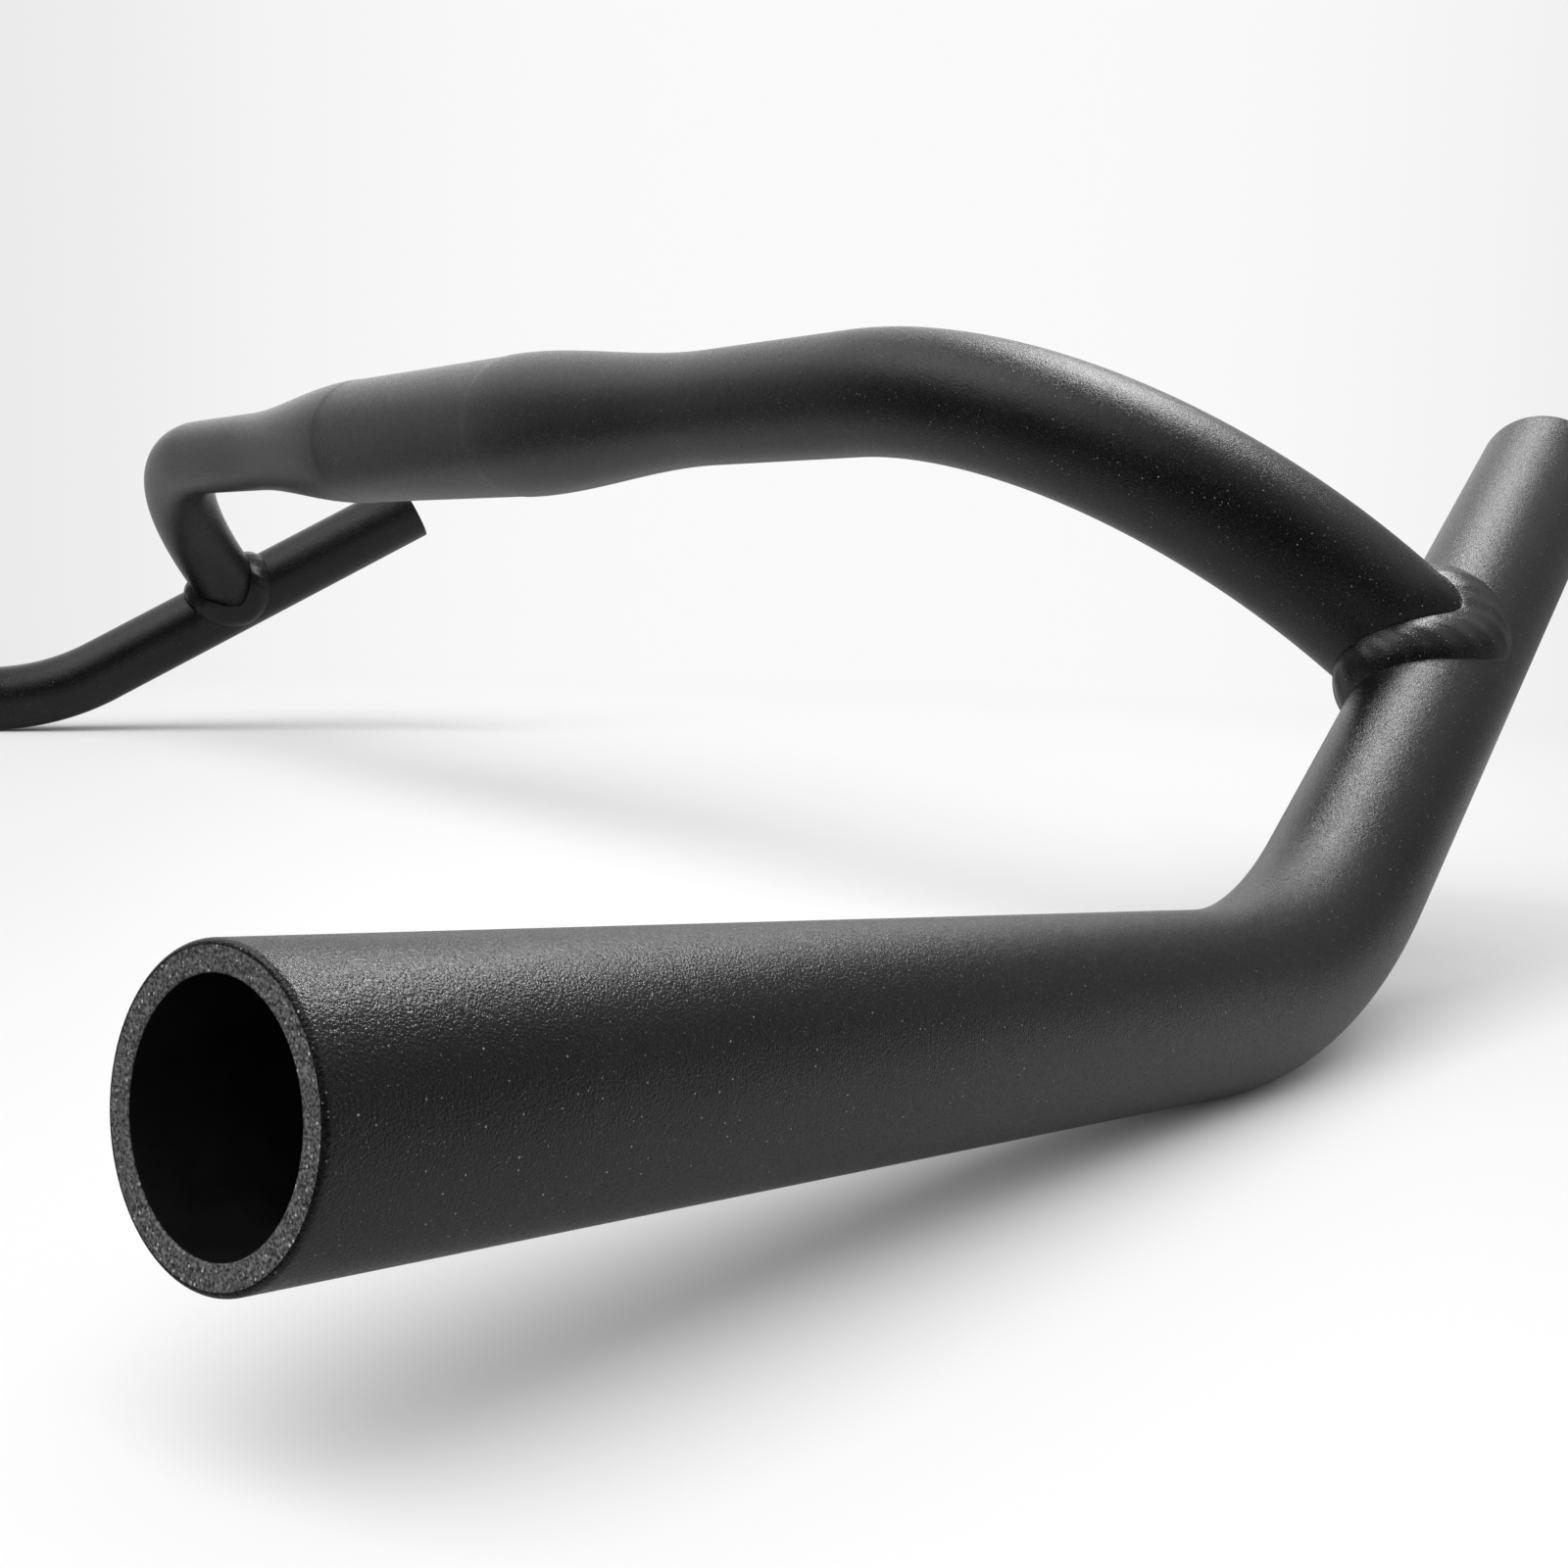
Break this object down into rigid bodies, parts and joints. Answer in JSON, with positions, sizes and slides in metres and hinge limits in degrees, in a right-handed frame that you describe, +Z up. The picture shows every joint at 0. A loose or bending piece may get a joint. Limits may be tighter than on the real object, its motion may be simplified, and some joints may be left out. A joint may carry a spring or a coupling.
{
  "type": "touring bike handlebar",
  "caption": "Multi-position touring handlebar: a bulged crossbar with bent legs, welded between two bent side tubes that end in rear grips and front horns.",
  "frame": {"origin": "middle of the stem clamp zone, on the crossbar's axis", "axes": "+X along the crossbar to the rider's right, +Y forward towards the horns, +Z up, with the grips near level as on the bike"},
  "size_m": [0.6562, 0.2873, 0.1087],
  "materials": {
    "powder_coat": "matte black powder coat with a fine sandy grain, over aluminium tube"
  },
  "bodies": {
    "root": {"crossbar": "powder_coat", "right_side_tube": "powder_coat", "left_side_tube": "powder_coat", "right_weld": "powder_coat", "left_weld": "powder_coat"}
  },
  "joints": []
}
